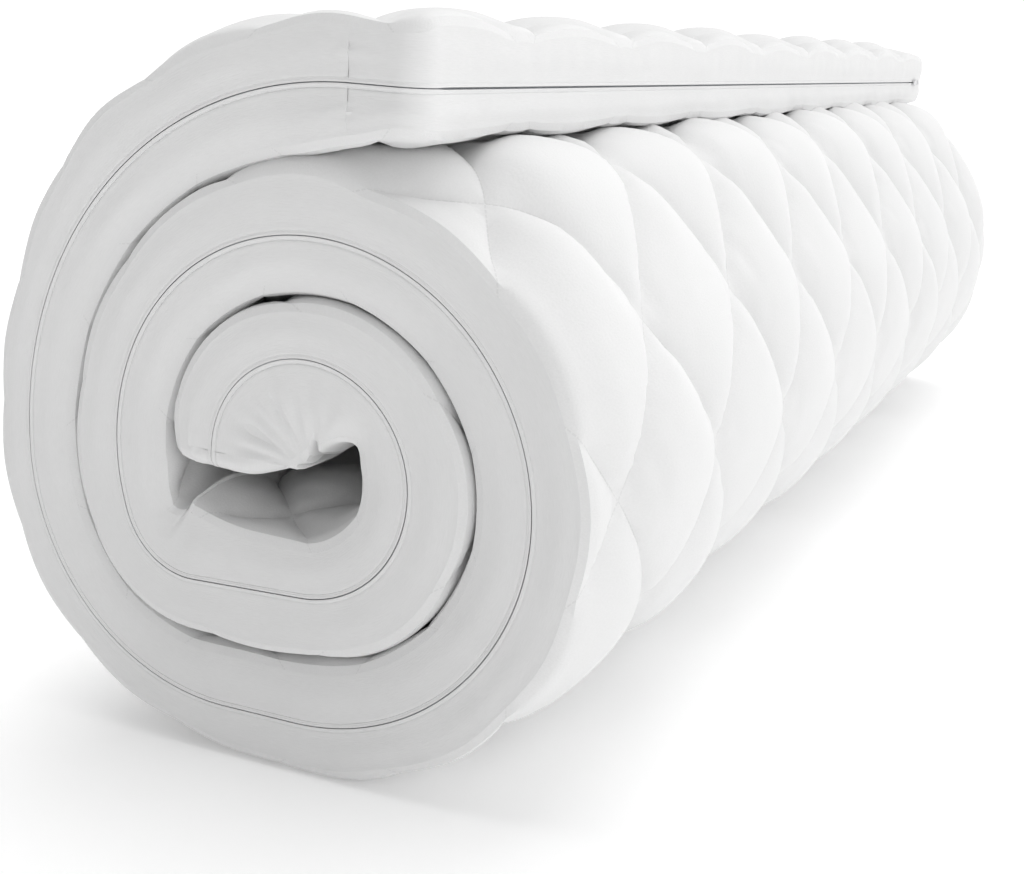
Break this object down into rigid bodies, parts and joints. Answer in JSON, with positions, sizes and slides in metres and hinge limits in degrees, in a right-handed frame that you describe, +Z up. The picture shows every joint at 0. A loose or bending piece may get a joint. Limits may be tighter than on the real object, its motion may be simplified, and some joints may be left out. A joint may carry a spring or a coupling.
{
  "type": "pressure relief mattress",
  "caption": "Quilted foam mattress topper with a zip round its border, rolled up with its axis level and lying on the flat of its outer turn.",
  "frame": {"origin": "centre of the roll's footprint on the floor", "axes": "+Y along the roll's axis, from the end with the visible spiral to the other end; +Z up; +X towards the side where the outer end lies"},
  "size_m": [0.4344, 1.4, 0.4554],
  "materials": {
    "pressure_foam": "open-cell viscoelastic polyurethane foam, matt",
    "support_foam": "open-cell polyurethane foam, matt",
    "quilt_backing": "spunbonded polypropylene web, matt",
    "quilt_wadding": "polyester fibre wadding, fluffy",
    "quilt_fabric": "fine white jersey, soft matt with a faint sheen",
    "border_fabric": "white knitted spacer fabric with fine ribs along its length, matt",
    "zip_tape": "woven white tape, matt",
    "zip_coil": "white nylon coil, satin",
    "zip_metal": "white enamelled die casting, satin",
    "zip_stop": "white moulded nylon, satin"
  },
  "bodies": {
    "root": {"foam_pressure_layer": "pressure_foam", "foam_support_layer": "support_foam", "upper_quilt_backing": "quilt_backing", "upper_quilt_wadding": "quilt_wadding", "upper_quilt_face_fabric": "quilt_fabric", "upper_border_front": "border_fabric", "upper_border_back": "border_fabric", "upper_border_outer_end": "border_fabric", "upper_border_inner_end": "border_fabric", "upper_zip_tape": "zip_tape", "upper_zip_coil": "zip_coil", "lower_quilt_backing": "quilt_backing", "lower_quilt_wadding": "quilt_wadding", "lower_quilt_face_fabric": "quilt_fabric", "lower_border_front": "border_fabric", "lower_border_back": "border_fabric", "lower_border_outer_end": "border_fabric", "lower_border_inner_end": "border_fabric", "lower_zip_tape": "zip_tape", "lower_zip_coil": "zip_coil", "zip_top_stops": "zip_stop", "zip_bottom_stop": "zip_stop"},
    "slider": {"zip_slider": "zip_metal"},
    "pull_tab": {"zip_pull_tab": "zip_metal"}
  },
  "joints": [
    {"name": "zip_slide", "type": "slide", "parent": "root", "child": "slider", "axis": [0, -1, 0], "range_m": [0, 1.3]},
    {"name": "pull_tab_hinge", "type": "hinge", "parent": "slider", "child": "pull_tab", "pos_m": [0.12044, 0.65, 0.41654], "axis": [0.0698, 0, 0.9976], "range_deg": [0, 170]}
  ]
}
